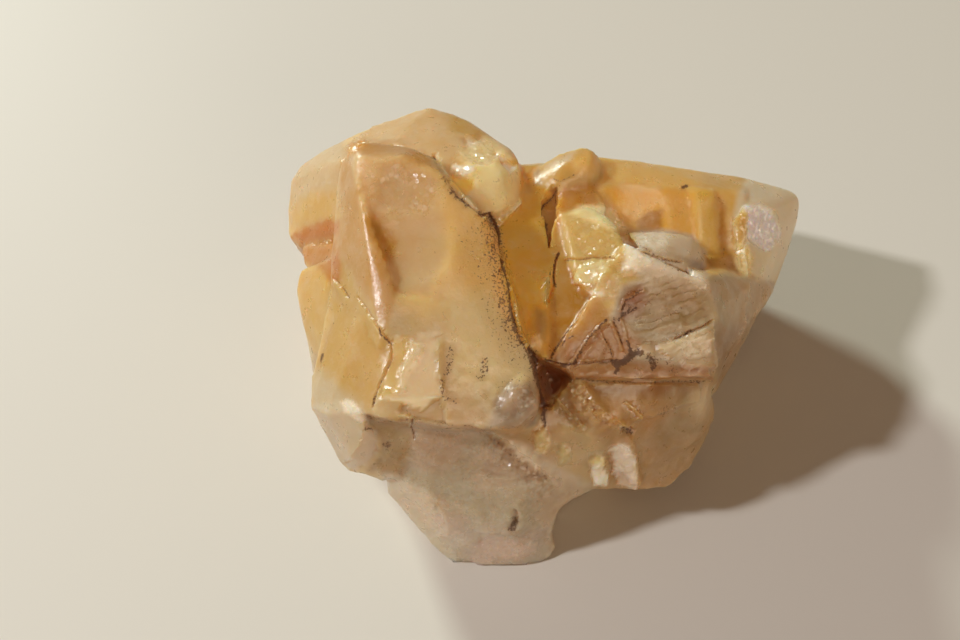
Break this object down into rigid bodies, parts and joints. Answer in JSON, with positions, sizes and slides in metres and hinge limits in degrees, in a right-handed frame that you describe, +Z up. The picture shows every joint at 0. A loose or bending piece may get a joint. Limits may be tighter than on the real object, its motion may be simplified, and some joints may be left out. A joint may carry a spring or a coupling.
{
  "type": "quartz crystal specimen",
  "caption": "Hand specimen of milky to amber quartz: broken prismatic crystals grown together on a massive pale base, resting on a flat broken face.",
  "frame": {"origin": "centre of the bounding box in plan, at the height of the face it rests on", "axes": "+Z up; +X towards the tapering right end as the picture shows it, along the longest extent; +Y away from the picture's viewer"},
  "size_m": [0.061, 0.0482, 0.0329],
  "materials": {
    "quartz": "glassy broken faces, milky and partly see-through, iron-stained yellow to amber with pale pinkish grey massive parts"
  },
  "bodies": {
    "root": {"quartz_cluster": "quartz"}
  },
  "joints": []
}
